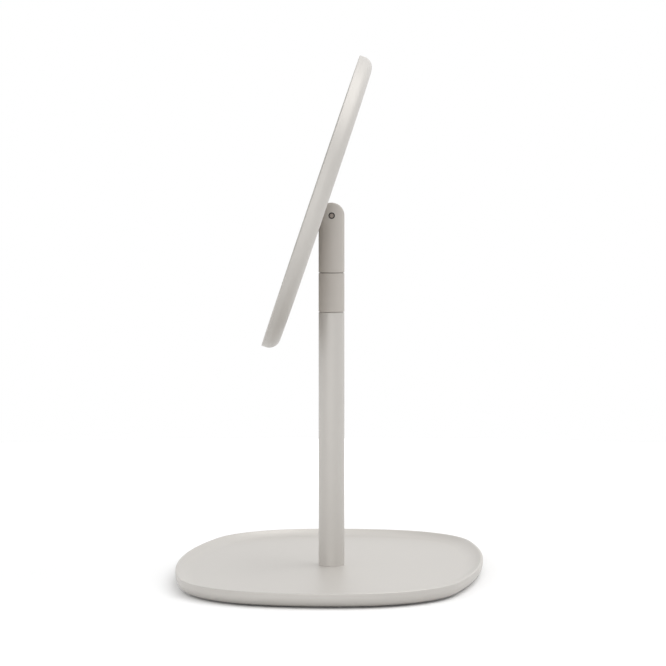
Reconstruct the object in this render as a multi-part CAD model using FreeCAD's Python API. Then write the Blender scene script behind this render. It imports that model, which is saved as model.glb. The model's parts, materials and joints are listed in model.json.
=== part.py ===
import FreeCAD, Part
import math
import os

from FreeCAD import Vector

# Table mirror: an oval tray, a round stem, a head that swivels on it and a round mirror that tilts.
# Millimetres, +Z up. The origin is on the table, under the stem's axis.
# The tray is long in X. The glass faces -Y when the head isn't turned.

# Pose at rest, in degrees
rest_tilt = 18.8  # how far the glass leans back from upright
rest_swivel = 5.45  # how far the head is turned from the tray's long axis

# Clearances
press_clearance = 0.01  # radial, between pieces that are pressed together
running_clearance = 0.03  # radial, between a shaft and its bush
face_clearance = 0.02  # between faces that slide on each other
thread_clearance = 0.02  # radial, between a screw and its tapped hole
hole_clearance = 0.15  # radial, round a screw or lug that passes through

# Tray
tray_length = 290.0
tray_width = 188.0
tray_side_radius = 385.0
tray_end_radius = 148.0
tray_corner_radius = 69.0
corner_limit = 0.95  # most that a corner may take of the room between a side and an end
tray_height = 8.1
tray_wall_upright = 1.8  # straight outer wall, from the rim down to the rounded edge
tray_floor_thickness = 4.0
tray_rim_width = 1.4
tray_rim_round = 0.5
tray_cove_run = 9.5  # from the rim to where the floor is flat

# Pad, let into the underside of the tray
pad_thickness = 1.4
pad_recess = 0.6
pad_land = 2.2  # flat ring of the tray around the pad
pad_clearance = 0.15

# Stem
stem_diameter = 16.0
tube_wall = 1.5
tube_length = 157.4
seam_chamfer = 0.25  # on the edges that meet at a seam of the stem

# Foot of the stem
plug_length = 18.0
base_screw_diameter = 5.0
base_screw_length = 15.0
base_screw_head = 9.2  # diameter of the countersunk head
base_screw_sunk = 0.1  # how far the head lies below the pad
base_screw_key = 3.0  # across the flats of its hexagon socket
base_screw_key_depth = 1.5
base_screw_end = 1.5  # spare depth of the tapped hole

# Swivel
collar_height = 24.3
spigot_length = 15.0
shoulder_depth = 14.0  # from the top of the collar to its inner shoulder
shoulder_thickness = 2.5
bush_wall = 1.5
bush_flange = 0.3
flange_inset = 0.8  # how far the flange stays inside the stem
spindle_diameter = 6.0
spindle_grip = 13.0  # length held in the head
spindle_thread = 4.0
spindle_tail = 1.5  # thread that shows past the nut
shoulder_clearance = 0.3
thrust_washer_thickness = 1.0
swivel_washer_diameter = 8.4
spring_washer_thickness = 0.5
spring_washer_rise = 0.35
spindle_nut_flats = 7.0
spindle_nut_height = 5.0
nut_clearance = 0.45

# Hinge
pin_diameter = 4.0
pin_bevel = 0.7
pin_sunk = 0.2  # how far the pin's ends lie inside the head
head_pin_height = 35.15  # from the bottom of the head to the pin
lug_thickness = 5.0
lug_end_radius = 4.6
slot_clearance = 0.6  # round the lug's end, in the head
washer_thickness = 0.5
washer_diameter = 9.0

# Mirror
mirror_diameter = 189.0
mirror_centre_above_pin = 4.45
pin_to_back = 5.5  # from the pin to the flat back of the shell
shell_wall = 1.2
shell_upright = 3.0  # straight side wall, from the front edge to the rounded back edge
well_radius = 26.0
well_clearance = 1.0  # between the head and the floor of the well
well_round = 1.0
plate_radius = 22.0
plate_thickness = 1.5
plate_gap = 1.0  # between the plate and the glass
glass_thickness = 2.0
glass_recess = 0.6
glass_clearance = 0.2
glass_bevel = 0.4
sheet_thickness = 0.8
backing_clearance = 0.2

# Screws that hold the lug's plate in the well
bracket_screw_diameter = 3.0
bracket_screw_head = 5.5
bracket_screw_head_height = 1.6
bracket_screw_bevel = 0.8
bracket_screw_key = 2.0
bracket_screw_key_depth = 0.9
bracket_screw_spread = 30.0  # along the hinge
bracket_screw_rise = 18.0  # across the hinge

# Heights that follow
tray_underside = pad_thickness - pad_recess
recess_level = tray_underside + pad_recess
floor_level = tray_underside + tray_floor_thickness
rim_level = tray_underside + tray_height
screw_face = recess_level + base_screw_sunk
screw_end = screw_face + base_screw_length
tube_top = floor_level + tube_length
collar_top = tube_top + collar_height
shoulder_top = collar_top - shoulder_depth
shoulder_bottom = shoulder_top - shoulder_thickness
head_bottom = collar_top + bush_flange + face_clearance
pin_level = head_bottom + head_pin_height

# Radii and insets that follow
stem_radius = stem_diameter / 2
tube_bore = stem_radius - tube_wall
spindle_radius = spindle_diameter / 2
bush_bore = spindle_radius + running_clearance
bush_radius = bush_bore + bush_wall
nut_corner_radius = spindle_nut_flats / math.sqrt(3)
nut_room_radius = nut_corner_radius + nut_clearance
pin_radius = pin_diameter / 2
slot_radius = lug_end_radius + slot_clearance
slot_width = lug_thickness + 2 * (washer_thickness + 2 * face_clearance)
tray_edge_radius = tray_height - tray_wall_upright
pad_inset = tray_edge_radius + pad_land
floor_inset = tray_rim_width + tray_cove_run
cove_drop = rim_level - floor_level
cove_radius = (tray_cove_run**2 + cove_drop**2) / (2 * cove_drop)
cove_half_turn = math.atan2(cove_drop, tray_cove_run)

# Mirror, measured from the pin towards the front
well_floor = stem_radius + well_clearance
plate_seat = well_floor + shell_wall
plate_front = plate_seat + plate_thickness
glass_back = plate_front + plate_gap
glass_front = glass_back + glass_thickness
mirror_front = glass_front + glass_recess
sheet_back = glass_back - sheet_thickness
shell_floor = pin_to_back + shell_wall
mirror_radius = mirror_diameter / 2
shell_edge_radius = mirror_front - pin_to_back - shell_upright
shell_flat_radius = mirror_radius - shell_edge_radius
backing_bore = well_radius + shell_wall + backing_clearance

UP = Vector(0, 0, 1)
ALONG_HINGE = Vector(1, 0, 0)
ORIGIN = Vector(0, 0, 0)
HALF_ROOT = math.sqrt(0.5)


def revolved(edges, sweep=360):
    """Solid of revolution about the Z axis, from edges that close in the XZ plane."""
    face = Part.Face(Part.Wire(Part.__sortEdges__(edges)))
    return face.revolve(ORIGIN, UP, sweep)


def lines(points):
    """Straight edges through a list of points."""
    return [Part.makeLine(start, end) for start, end in zip(points, points[1:])]


def turned(outline):
    """Turned piece about Z, from the corners of a closed outline given as (radius, height)."""
    corners = [Vector(radius, 0, height) for radius, height in outline]
    return revolved(lines(corners + corners[:1]))


def rod(radius, bottom, top):
    """Upright cylinder on the Z axis."""
    return Part.makeCylinder(radius, top - bottom, Vector(0, 0, bottom))


def cross_rod(radius, half_length, level=0.0):
    """Cylinder along the hinge axis, centred on the Z axis."""
    return Part.makeCylinder(radius, 2 * half_length, Vector(-half_length, 0, level), ALONG_HINGE)


def hexagon(flats, bottom, top):
    """Upright hexagonal bar on the Z axis."""
    corner = flats / math.sqrt(3)
    angles = [math.radians(60 * step) for step in range(7)]
    points = [Vector(corner * math.cos(a), corner * math.sin(a), bottom) for a in angles]
    return Part.Face(Part.makePolygon(points)).extrude(Vector(0, 0, top - bottom))


def quarter(centre, radius, start, end):
    """Quarter circle in the XZ plane, bulging away from its centre."""
    outward = (start - centre) + (end - centre)
    outward.normalize()
    return Part.Arc(start, centre + outward * radius, end).toShape()


def corner_bend():
    """Radius of the tray's corners, limited where a narrow end would leave no arc between them."""
    half_length = tray_length / 2
    half_width = tray_width / 2
    room = 2 * tray_side_radius * half_width - half_length**2 - half_width**2
    largest = room / (2 * (tray_side_radius - half_length))
    return min(tray_corner_radius, corner_limit * largest)


def tray_arcs():
    """Eight tangent arcs of the tray's outline: centre, radius, start angle and end angle."""
    bend = corner_bend()
    side_centre = Vector(0, tray_width / 2 - tray_side_radius)
    end_centre = Vector(tray_length / 2 - tray_end_radius, 0)
    from_side = tray_side_radius - bend
    from_end = tray_end_radius - bend
    span = end_centre - side_centre
    along = (from_side**2 - from_end**2 + span.Length**2) / (2 * span.Length)
    across = math.sqrt(from_side**2 - along**2)
    span.normalize()
    corner = side_centre + span * along + Vector(-span.y, span.x) * -across
    steep = math.atan2(corner.y - side_centre.y, corner.x - side_centre.x)
    shallow = math.atan2(corner.y - end_centre.y, corner.x - end_centre.x)
    half_turn = math.pi
    arcs = []
    for turn, sign in ((0.0, 1), (half_turn, -1)):
        rear = Vector(-corner.x, corner.y)
        arcs.append((end_centre * sign, tray_end_radius, turn - shallow, turn + shallow))
        arcs.append((corner * sign, bend, turn + shallow, turn + steep))
        arcs.append((side_centre * sign, tray_side_radius, turn + steep, turn + half_turn - steep))
        arcs.append((rear * sign, bend, turn + half_turn - steep, turn + half_turn - shallow))
    return arcs


def tray_outline(inset, level):
    """Face bounded by the tray's outline, moved inwards by the inset."""
    edges = []
    for centre, radius, start, end in tray_arcs():
        angles = (start, (start + end) / 2, end)
        reach = radius - inset
        points = [centre + Vector(reach * math.cos(a), reach * math.sin(a), level) for a in angles]
        edges.append(Part.Arc(*points).toShape())
    return Part.Face(Part.Wire(edges))


def tray_section(radius):
    """Edges of the tray's section, from the outer wall in to the flat floor, on an arc of this radius."""

    def at(inset, level):
        return Vector(radius - inset, 0, level)

    edge_centre = at(tray_edge_radius, tray_underside + tray_edge_radius)
    wall_foot = at(0, tray_underside + tray_edge_radius)
    edge_foot = at(tray_edge_radius, tray_underside)
    rim_centre = at(tray_rim_round, rim_level - tray_rim_round)
    rim_outside = at(0, rim_level - tray_rim_round)
    rim_top = at(tray_rim_round, rim_level)
    rim_inside = at(tray_rim_width, rim_level)
    floor_edge = at(floor_inset, floor_level)
    cove_middle = at(
        floor_inset - cove_radius * math.sin(cove_half_turn),
        floor_level + cove_radius * (1 - math.cos(cove_half_turn)),
    )
    under = lines(
        [
            floor_edge,
            at(floor_inset, recess_level),
            at(pad_inset, recess_level),
            at(pad_inset, tray_underside),
            edge_foot,
        ]
    )
    return under + [
        quarter(edge_centre, tray_edge_radius, edge_foot, wall_foot),
        Part.makeLine(wall_foot, rim_outside),
        quarter(rim_centre, tray_rim_round, rim_outside, rim_top),
        Part.makeLine(rim_top, rim_inside),
        Part.Arc(rim_inside, cove_middle, floor_edge).toShape(),
    ]


def tray():
    """Cast dish: a rounded outer edge, a thin rim and a round cove down to the flat floor."""
    sectors = []
    for centre, radius, start, end in tray_arcs():
        sector = revolved(tray_section(radius), sweep=math.degrees(end - start))
        sector.rotate(ORIGIN, UP, math.degrees(start))
        sector.translate(centre)
        sectors.append(sector)
    floor = tray_outline(floor_inset, recess_level).extrude(Vector(0, 0, floor_level - recess_level))
    dish = floor.multiFuse(sectors).removeSplitter()
    return dish.cut(base_screw_hole())


def base_pad():
    """Non-slip sheet in the recess under the tray."""
    return tray_outline(pad_inset + pad_clearance, 0).extrude(Vector(0, 0, pad_thickness))


def base_screw_hole():
    """Countersunk hole in the tray, on whose cone the base screw sits."""
    head = base_screw_head / 2
    shank = base_screw_diameter / 2 + hole_clearance
    cone_end = screw_face + head - shank
    return turned(
        [
            (0, tray_underside),
            (head, tray_underside),
            (head, screw_face),
            (shank, cone_end),
            (shank, floor_level),
            (0, floor_level),
        ]
    )


def base_screw():
    """Countersunk screw that pulls the stem down on the tray."""
    head = base_screw_head / 2
    shank = base_screw_diameter / 2
    cone_end = screw_face + head - shank
    outline = [(0, screw_face), (head, screw_face), (shank, cone_end), (shank, screw_end), (0, screw_end)]
    blank = turned(outline)
    return blank.cut(hexagon(base_screw_key, screw_face, screw_face + base_screw_key_depth))


def foot_plug():
    """Plug pressed into the tube's lower end, tapped for the base screw."""
    tapped = base_screw_diameter / 2 + thread_clearance
    plug = rod(tube_bore - press_clearance, floor_level, floor_level + plug_length)
    return plug.cut(rod(tapped, floor_level, screw_end + base_screw_end))


def stem_tube():
    """Round tube, bevelled outside at its upper end where the seam shows."""
    return turned(
        [
            (tube_bore, floor_level),
            (stem_radius, floor_level),
            (stem_radius, tube_top - seam_chamfer),
            (stem_radius - seam_chamfer, tube_top),
            (tube_bore, tube_top),
        ]
    )


def swivel_collar():
    """Collar with a spigot in the tube, a bore for the bush and room for the nut below."""
    spigot = tube_bore - press_clearance
    spigot_bottom = tube_top - spigot_length
    bush_hole = bush_radius + press_clearance
    shoulder_hole = spindle_radius + shoulder_clearance
    return turned(
        [
            (nut_room_radius, spigot_bottom),
            (spigot, spigot_bottom),
            (spigot, tube_top),
            (stem_radius - seam_chamfer, tube_top),
            (stem_radius, tube_top + seam_chamfer),
            (stem_radius, collar_top - seam_chamfer),
            (stem_radius - seam_chamfer, collar_top),
            (bush_hole, collar_top),
            (bush_hole, shoulder_top),
            (shoulder_hole, shoulder_top),
            (shoulder_hole, shoulder_bottom),
            (nut_room_radius, shoulder_bottom),
        ]
    )


def collar_bush():
    """Flanged bush in the collar. Its flange keeps the head off the collar."""
    flange = stem_radius - flange_inset
    return turned(
        [
            (bush_bore, shoulder_top),
            (bush_radius, shoulder_top),
            (bush_radius, collar_top),
            (flange, collar_top),
            (flange, collar_top + bush_flange),
            (bush_bore, collar_top + bush_flange),
        ]
    )


# Levels of the washers and the nut under the collar's shoulder
thrust_top = shoulder_bottom - face_clearance
thrust_bottom = thrust_top - thrust_washer_thickness
spring_bottom = thrust_bottom - spring_washer_thickness - spring_washer_rise
nut_bottom = spring_bottom - spindle_nut_height


def swivel_spindle():
    """Spindle held in the head, turning in the bush, with a thread for the nut below."""
    thread = spindle_thread / 2
    tail = nut_bottom - spindle_tail
    top = head_bottom + spindle_grip
    return turned(
        [
            (0, tail),
            (thread, tail),
            (thread, thrust_bottom),
            (spindle_radius, thrust_bottom),
            (spindle_radius, top),
            (0, top),
        ]
    )


def thrust_washer():
    """Flat washer that turns against the collar's inner shoulder."""
    outer = swivel_washer_diameter / 2
    bore = spindle_radius + running_clearance
    return turned([(bore, thrust_bottom), (outer, thrust_bottom), (outer, thrust_top), (bore, thrust_top)])


def spring_washer():
    """Cone-shaped spring washer that keeps the swivel firm."""
    outer = swivel_washer_diameter / 2
    bore = spindle_thread / 2 + running_clearance
    middle = spring_bottom + spring_washer_thickness
    return turned([(bore, spring_bottom), (outer, thrust_bottom - spring_washer_thickness),
                   (outer, thrust_bottom), (bore, middle)])


def spindle_nut():
    """Lock nut on the spindle's thread."""
    thread = spindle_thread / 2 + thread_clearance
    return hexagon(spindle_nut_flats, nut_bottom, spring_bottom).cut(rod(thread, nut_bottom, spring_bottom))


def head_profile():
    """Side view of the head: upright sides under a half-round top about the pin."""
    low_front = Vector(-stem_radius, -stem_radius, head_bottom)
    low_back = Vector(-stem_radius, stem_radius, head_bottom)
    high_front = Vector(-stem_radius, -stem_radius, pin_level)
    high_back = Vector(-stem_radius, stem_radius, pin_level)
    crown = Vector(-stem_radius, 0, pin_level + stem_radius)
    edges = lines([high_front, low_front, low_back, high_back])
    edges.append(Part.Arc(high_back, crown, high_front).toShape())
    return Part.Face(Part.Wire(edges))


def head_slot():
    """Slot for the lug: open in front and above, with a round bottom and a wall behind."""
    left = -slot_width / 2
    reach = 2 * stem_radius
    bend = slot_radius * HALF_ROOT
    bottom = Vector(left, 0, pin_level - slot_radius)
    turn = Vector(left, bend, pin_level - bend)
    back = Vector(left, slot_radius, pin_level)
    above_back = Vector(left, slot_radius, pin_level + reach)
    above_front = Vector(left, -reach, pin_level + reach)
    low_front = Vector(left, -reach, pin_level - slot_radius)
    edges = lines([back, above_back, above_front, low_front, bottom])
    edges.append(Part.Arc(bottom, turn, back).toShape())
    return Part.Face(Part.Wire(edges)).extrude(Vector(slot_width, 0, 0))


def hinge_head():
    """Fork on top of the stem, with a slot for the lug and a bore for the pin."""
    blank = turned(
        [
            (0, head_bottom),
            (stem_radius - seam_chamfer, head_bottom),
            (stem_radius, head_bottom + seam_chamfer),
            (stem_radius, pin_level + stem_radius),
            (0, pin_level + stem_radius),
        ]
    )
    crowned = blank.common(head_profile().extrude(Vector(2 * stem_radius, 0, 0)))
    spindle_hole = rod(spindle_radius + press_clearance, head_bottom, head_bottom + spindle_grip)
    pin_hole = cross_rod(pin_radius + press_clearance, 2 * stem_radius, pin_level)
    return turned_by_swivel(crowned.cut([head_slot(), spindle_hole, pin_hole]))


def hinge_pin():
    """Pin pressed through both sides of the fork, with bevelled ends that show."""
    end = stem_radius - pin_sunk
    pin = turned(
        [
            (0, -end),
            (pin_radius - pin_bevel, -end),
            (pin_radius, pin_bevel - end),
            (pin_radius, end - pin_bevel),
            (pin_radius - pin_bevel, end),
            (0, end),
        ]
    )
    pin.rotate(ORIGIN, Vector(0, 1, 0), 90)
    pin.translate(Vector(0, 0, pin_level))
    return turned_by_swivel(pin)


def lug_washers():
    """Two friction washers, one on each side of the lug."""
    bore = pin_radius + running_clearance
    inner = lug_thickness / 2 + face_clearance
    washers = []
    for side in (-1, 1):
        start = Vector(side * inner, 0, pin_level)
        outward = ALONG_HINGE * side
        disc = Part.makeCylinder(washer_diameter / 2, washer_thickness, start, outward)
        washers.append(disc.cut(Part.makeCylinder(bore, washer_thickness, start, outward)))
    return turned_by_swivel(Part.makeCompound(washers))


def turned_by_swivel(shape):
    """The shape turned with the head about the stem."""
    shape.rotate(ORIGIN, UP, rest_swivel)
    return shape


def hung_on_pin(shape):
    """A piece made flat, with the pin at the origin and its front upwards, put in its place."""
    shape.rotate(ORIGIN, ALONG_HINGE, 90 - rest_tilt)
    shape.translate(Vector(0, 0, pin_level))
    return turned_by_swivel(shape)


def disc_on_mirror(shape):
    """A shape made about Z, moved so that it is centred on the mirror."""
    shape.translate(Vector(0, mirror_centre_above_pin, 0))
    return shape


def screw_places():
    """Places of the four bracket screws about the pin."""
    across = bracket_screw_spread / 2
    up = bracket_screw_rise / 2
    return [Vector(x, y, 0) for x in (-across, across) for y in (-up, up)]


def drilled(shape, radius, bottom, top):
    """The shape with the four holes for the bracket screws."""
    holes = []
    for place in screw_places():
        hole = rod(radius, bottom, top)
        hole.translate(place)
        holes.append(hole)
    return shape.cut(holes)


def hinge_lug():
    """Tongue with a round end on the pin, and the plate that holds it inside the shell."""
    half = lug_thickness / 2
    tongue = Part.makeBox(
        lug_thickness, 2 * lug_end_radius, plate_seat, Vector(-half, -lug_end_radius, 0)
    )
    lug = rod(plate_radius, plate_seat, plate_front).fuse([tongue, cross_rod(lug_end_radius, half)])
    lug = lug.cut(cross_rod(pin_radius + running_clearance, half)).removeSplitter()
    tapped = bracket_screw_diameter / 2 + thread_clearance
    return hung_on_pin(drilled(lug, tapped, plate_seat, plate_front))


def bracket_screws():
    """Four round-headed screws in the well, through the shell into the lug's plate."""
    head = bracket_screw_head / 2
    shank = bracket_screw_diameter / 2
    head_face = well_floor - bracket_screw_head_height
    bevel = bracket_screw_bevel
    outline = [(0, head_face), (head - bevel, head_face), (head, head_face + bevel), (head, well_floor),
               (shank, well_floor), (shank, plate_front), (0, plate_front)]
    socket = hexagon(bracket_screw_key, head_face, head_face + bracket_screw_key_depth)
    screws = []
    for place in screw_places():
        screw = turned(outline).cut(socket)
        screw.translate(place)
        screws.append(screw)
    return hung_on_pin(Part.makeCompound(screws))


def shell_section(wall):
    """Edges of the pan's outside, or of its inside when the wall is taken off."""
    radius = mirror_radius - wall
    back = pin_to_back + wall
    bend = shell_edge_radius - wall
    centre = Vector(shell_flat_radius, 0, pin_to_back + shell_edge_radius)
    flat_end = Vector(shell_flat_radius, 0, back)
    bend_end = Vector(radius, 0, pin_to_back + shell_edge_radius)
    sides = lines([bend_end, Vector(radius, 0, mirror_front), Vector(0, 0, mirror_front),
                   Vector(0, 0, back), flat_end])
    return sides + [quarter(centre, bend, flat_end, bend_end)]


def well_cutter():
    """Round well in the back of the shell, with a rounded mouth."""
    mouth = pin_to_back + well_round
    outer = well_radius + well_round
    behind = Vector(outer, 0, 0)
    lip = Vector(outer, 0, pin_to_back)
    wall = Vector(well_radius, 0, mouth)
    middle = Vector(outer - well_round * HALF_ROOT, 0, mouth - well_round * HALF_ROOT)
    edges = lines([wall, Vector(well_radius, 0, well_floor), Vector(0, 0, well_floor), ORIGIN, behind, lip])
    edges.append(Part.Arc(lip, middle, wall).toShape())
    return revolved(edges)


def mirror_shell():
    """Pan with a rounded back edge, and a well in its back for the top of the head."""
    outside = disc_on_mirror(revolved(shell_section(0)))
    inside = disc_on_mirror(revolved(shell_section(shell_wall)))
    boss = rod(well_radius + shell_wall, shell_floor, plate_seat)
    slot_x = lug_thickness / 2 + hole_clearance
    slot_y = lug_end_radius + hole_clearance
    slot = Part.makeBox(2 * slot_x, 2 * slot_y, plate_seat, Vector(-slot_x, -slot_y, 0))
    pan = outside.cut(inside).fuse(boss).cut([well_cutter(), slot]).removeSplitter()
    return hung_on_pin(drilled(pan, bracket_screw_diameter / 2 + hole_clearance, well_floor, plate_seat))


def mirror_ring(radius, bottom, top):
    """Disc centred on the mirror, open in the middle for the well."""
    disc = disc_on_mirror(rod(radius, bottom, top))
    return hung_on_pin(disc.cut(rod(backing_bore, bottom, top)))


def backing_disc():
    """Board that fills the shell behind the glass."""
    return mirror_ring(shell_flat_radius - backing_clearance, shell_floor, sheet_back)


def adhesive_sheet():
    """Foam sheet that sticks the glass to the board."""
    return mirror_ring(shell_flat_radius - backing_clearance, sheet_back, glass_back)


def mirror_glass():
    """Round glass with bevelled edges, a little below the shell's front edge."""
    radius = mirror_radius - shell_wall - glass_clearance
    glass = turned(
        [
            (0, glass_back),
            (radius - glass_bevel, glass_back),
            (radius, glass_back + glass_bevel),
            (radius, glass_front - glass_bevel),
            (radius - glass_bevel, glass_front),
            (0, glass_front),
        ]
    )
    return hung_on_pin(disc_on_mirror(glass))


PIECES = (
    tray,
    base_pad,
    base_screw,
    foot_plug,
    stem_tube,
    swivel_collar,
    collar_bush,
    swivel_spindle,
    thrust_washer,
    spring_washer,
    spindle_nut,
    hinge_head,
    hinge_pin,
    lug_washers,
    hinge_lug,
    bracket_screws,
    mirror_shell,
    backing_disc,
    adhesive_sheet,
    mirror_glass,
)

os.makedirs("parts", exist_ok=True)
for piece in PIECES:
    shape = piece()
    shape.exportStep("parts/" + piece.__name__ + ".step")
    print(f"{piece.__name__}: {len(shape.Solids)} solid(s), {shape.Volume:.1f} mm3, valid {shape.isValid()}")
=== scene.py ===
import json
import math

import bmesh
import bpy
import numpy as np
from mathutils import Matrix, Vector

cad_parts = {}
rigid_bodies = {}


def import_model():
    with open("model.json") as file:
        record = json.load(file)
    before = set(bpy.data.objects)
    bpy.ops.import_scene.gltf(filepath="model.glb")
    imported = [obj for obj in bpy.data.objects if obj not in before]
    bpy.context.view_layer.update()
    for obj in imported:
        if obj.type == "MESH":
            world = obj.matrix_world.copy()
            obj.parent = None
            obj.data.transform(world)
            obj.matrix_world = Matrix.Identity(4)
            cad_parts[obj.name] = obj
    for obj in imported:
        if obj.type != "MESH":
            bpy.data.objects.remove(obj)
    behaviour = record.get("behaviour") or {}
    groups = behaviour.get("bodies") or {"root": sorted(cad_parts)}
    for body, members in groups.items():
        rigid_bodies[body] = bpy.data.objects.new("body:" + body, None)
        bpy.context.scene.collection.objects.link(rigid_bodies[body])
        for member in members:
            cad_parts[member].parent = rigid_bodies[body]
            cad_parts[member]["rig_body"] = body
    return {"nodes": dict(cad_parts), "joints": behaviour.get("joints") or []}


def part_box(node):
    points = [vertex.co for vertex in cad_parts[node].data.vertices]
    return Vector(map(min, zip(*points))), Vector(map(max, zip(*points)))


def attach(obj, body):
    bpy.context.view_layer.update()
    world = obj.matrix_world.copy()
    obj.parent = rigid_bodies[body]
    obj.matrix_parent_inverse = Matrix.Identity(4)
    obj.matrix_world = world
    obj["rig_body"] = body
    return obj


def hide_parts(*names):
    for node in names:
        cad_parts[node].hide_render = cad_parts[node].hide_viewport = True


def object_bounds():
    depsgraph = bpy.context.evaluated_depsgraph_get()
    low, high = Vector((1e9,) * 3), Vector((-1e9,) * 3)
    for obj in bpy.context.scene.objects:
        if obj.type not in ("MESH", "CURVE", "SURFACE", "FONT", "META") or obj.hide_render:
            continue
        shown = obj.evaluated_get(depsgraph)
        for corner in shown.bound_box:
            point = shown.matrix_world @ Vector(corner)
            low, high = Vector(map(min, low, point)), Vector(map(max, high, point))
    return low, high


bl_info = {
    "name": "Table mirror",
    "version": (1, 0, 0),
    "blender": (4, 5, 0),
    "location": "3D View > Sidebar > Table mirror",
    "description": "Dresses a table mirror on an oval dish in satin paint, steel and silvered glass",
    "category": "Object",
}

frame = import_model()
CAD_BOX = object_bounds()

TURN_STEPS = 192  # points round a turned piece
PIN_STEPS = 96  # points round the pin
SCREW_STEPS = 72  # points round a bracket screw
MERGE_DISTANCE = 1e-7
SMOOTH_ANGLE = math.radians(35)
FLOOR_LEVEL = -0.0002  # just under the object, so that the floor doesn't cut into the sheet

# From a bend to the ring that keeps the flat beside it flat in the shading
GUARD = 0.0005
SMALL_GUARD = 0.0003
FINE_GUARD = 0.0002


# Settings


def number(name, default, description, **kind):
    """Property for a number of some kind."""
    return bpy.props.FloatProperty(name=name, default=default, description=description, **kind)


def length(name, default, description):
    """Property for a length in metres."""
    return number(name, default, description, min=0.0, precision=5, unit="LENGTH", subtype="DISTANCE")


def share(name, default, description):
    """Property for a number from 0 to 1."""
    return number(name, default, description, min=0.0, max=1.0, subtype="FACTOR")


def power(name, default, description):
    """Property for the strength of a lamp in watts."""
    return number(name, default, description, min=0.0, unit="POWER")


def angle(name, degrees, description):
    """Property for an angle, whose default is given in degrees."""
    return number(name, math.radians(degrees), description, subtype="ANGLE", unit="ROTATION")


def colour(name, default, description):
    """Property for a linear colour."""
    return bpy.props.FloatVectorProperty(
        name=name, default=default, description=description, min=0.0, max=1.0, size=3, subtype="COLOR"
    )


class DishSettings(bpy.types.PropertyGroup):
    """Sizes of the oval dish and the sheet under it."""

    side_radius: length("Side radius", 0.385, "Radius of the two long sides in plan")
    end_radius: length("End radius", 0.148, "Radius of the two ends in plan")
    corner_radius: length("Corner radius", 0.069, "Radius of the four corners in plan")
    floor_thickness: length("Floor thickness", 0.004, "From the underside to the flat floor")
    wall_upright: length("Upright wall", 0.0024, "Straight outer wall under the rim")
    rim_width: length("Rim width", 0.0014, "Width of the rim")
    rim_round: length("Outer rim round", 0.0006, "Radius of the rim's outer edge")
    rim_inner_round: length("Inner rim round", 0.0006, "Radius of the rim's inner edge")
    cove_run: length("Cove run", 0.0095, "From the rim to where the floor is flat")
    pad_recess: length("Recess", 0.0006, "How deep the sheet is let into the underside")
    sheet_edge: length("Sheet edge", 0.0003, "How far the sheet's edges are rounded")
    screw_hole: length("Screw hole", 0.00265, "Radius of the hole under the stem")
    screw_sink: length("Countersink", 0.0046, "Radius of the countersink under the stem")


class StemSettings(bpy.types.PropertyGroup):
    """Sizes of the stem, its seams and the fork on top."""

    tube_bore: length("Tube bore", 0.0065, "Inner radius of the tube")
    seam_chamfer: length("Seam chamfer", 0.00025, "Bevel on the edges that meet at a seam")
    seam_gap: length("Seam gap", 0.0003, "Height of the groove between tube and collar")
    seam_depth: length("Seam depth", 0.0008, "Depth of the groove between tube and collar")
    soft_edge: length("Soft edge", 0.00008, "How far a painted edge is rounded")
    collar_bore: length("Collar bore", 0.00454, "Inner radius of the collar")
    bush_bore: length("Bush bore", 0.00303, "Inner radius of the bush")
    bush_radius: length("Bush radius", 0.00453, "Outer radius of the bush below its flange")
    flange: length("Flange", 0.0003, "Thickness of the bush's flange")
    slot_half: length("Slot half width", 0.00304, "Half the width of the slot in the fork")
    slot_radius: length("Slot radius", 0.0052, "Radius of the slot's bottom about the pin")
    shoulder: length("Fork root", 0.012, "How far below the pin the fork begins")
    crown_round: length("Crown round", 0.0014, "Radius of the edge round the fork's top")
    pin_radius: length("Pin radius", 0.002, "Radius of the hinge pin")
    pin_tip: length("Pin tip", 0.00128, "Radius of the flat tip in the middle of the pin's ends")
    pin_groove: length("Pin groove", 0.0008, "Depth of the groove round the tip")
    pin_edge: length("Pin edge", 0.00012, "How far the edges of the pin and of its hole are rounded")
    pin_room: length("Pin room", 0.00001, "Gap round the pin in the fork")
    pin_sunk: length("Pin sunk", 0.0002, "How far the pin's ends lie inside the fork")
    spindle_bore: length("Spindle bore", 0.00301, "Radius of the spindle's hole in the fork")
    spindle_grip: length("Spindle grip", 0.013, "Depth of the spindle's hole in the fork")


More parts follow.
